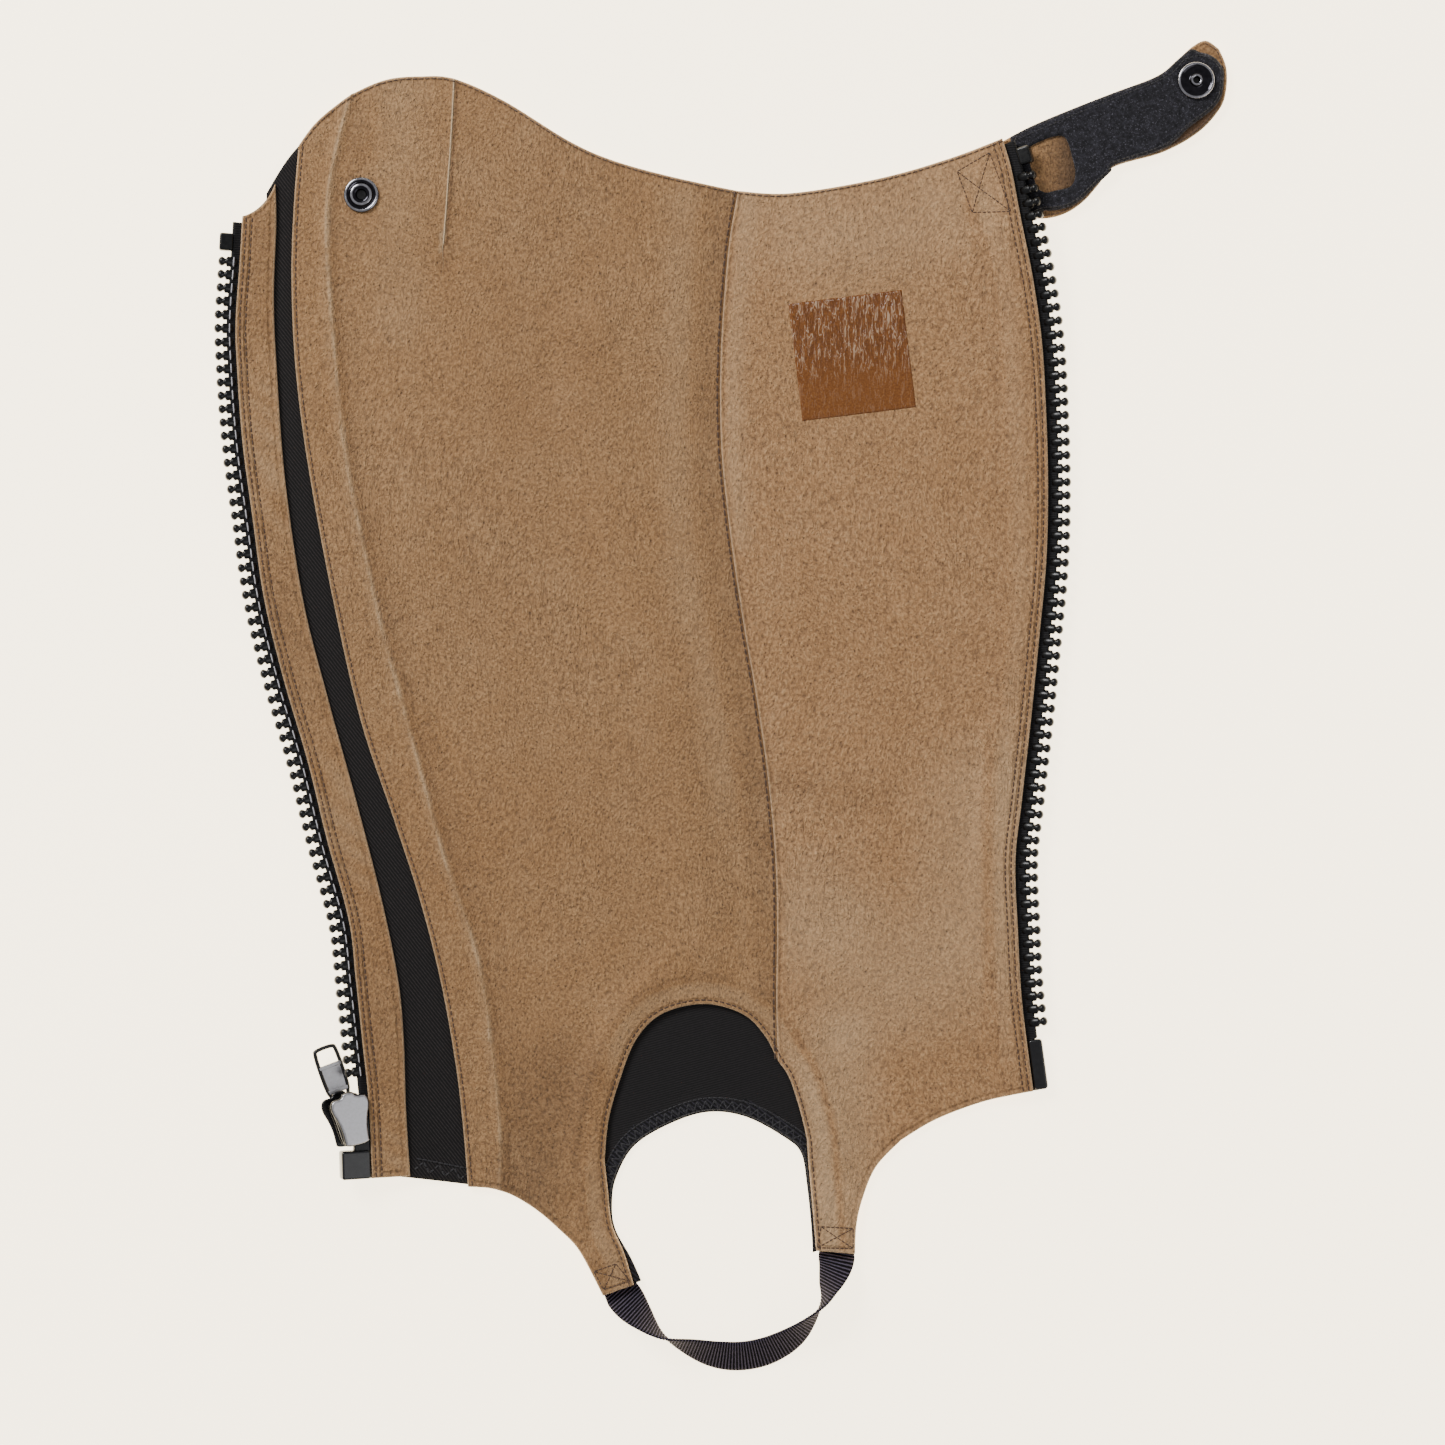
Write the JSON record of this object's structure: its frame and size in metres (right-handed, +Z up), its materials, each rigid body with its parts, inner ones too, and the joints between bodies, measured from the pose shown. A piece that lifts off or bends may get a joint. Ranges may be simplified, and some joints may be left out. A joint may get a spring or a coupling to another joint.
{
  "type": "half chap",
  "caption": "Leather half chap laid open: two panels, elastic gusset, zip halves with a slider, stirrup strap and a snap tab at the knee.",
  "frame": {"origin": "centre of the bounding box on the floor that the chap lies on", "axes": "+Y from the foot to the knee edge, +Z up out of the inner face, -X at the front zip half"},
  "size_m": [0.3902, 0.5124, 0.0147],
  "materials": {
    "leather": "matt, fine grain",
    "elastic": "fine twill",
    "webbing": "ribbed",
    "suede": "napped",
    "moulded_plastic": "satin",
    "nickel": "satin",
    "gunmetal": "glossy",
    "label_film": "glossy"
  },
  "bodies": {
    "chap": {"main_panel": "leather", "inner_panel": "leather", "front_strip": "leather", "elastic_gusset": "elastic", "arch_panel": "elastic", "stirrup_strap": "webbing", "front_zip_tape": "webbing", "front_zip_teeth": "moulded_plastic", "front_top_stop": "moulded_plastic", "back_zip_tape": "webbing", "back_zip_teeth": "moulded_plastic", "back_top_stop": "moulded_plastic", "retainer_box": "moulded_plastic", "insertion_pin": "moulded_plastic", "zip_slider": "nickel", "tab_leather": "leather", "tab_backing": "suede", "snap_socket": "gunmetal", "socket_cap": "gunmetal", "snap_stud": "gunmetal", "stud_cap": "gunmetal", "label_patch": "label_film"},
    "pull": {"pull_tab": "nickel"}
  },
  "joints": [
    {"name": "pull_swing", "type": "hinge", "parent": "chap", "child": "pull", "pos_m": [-0.14393, -0.15646, 0.00279], "axis": [-0.8937, -0.3205, 0.3138], "range_deg": [-2, 170]}
  ]
}
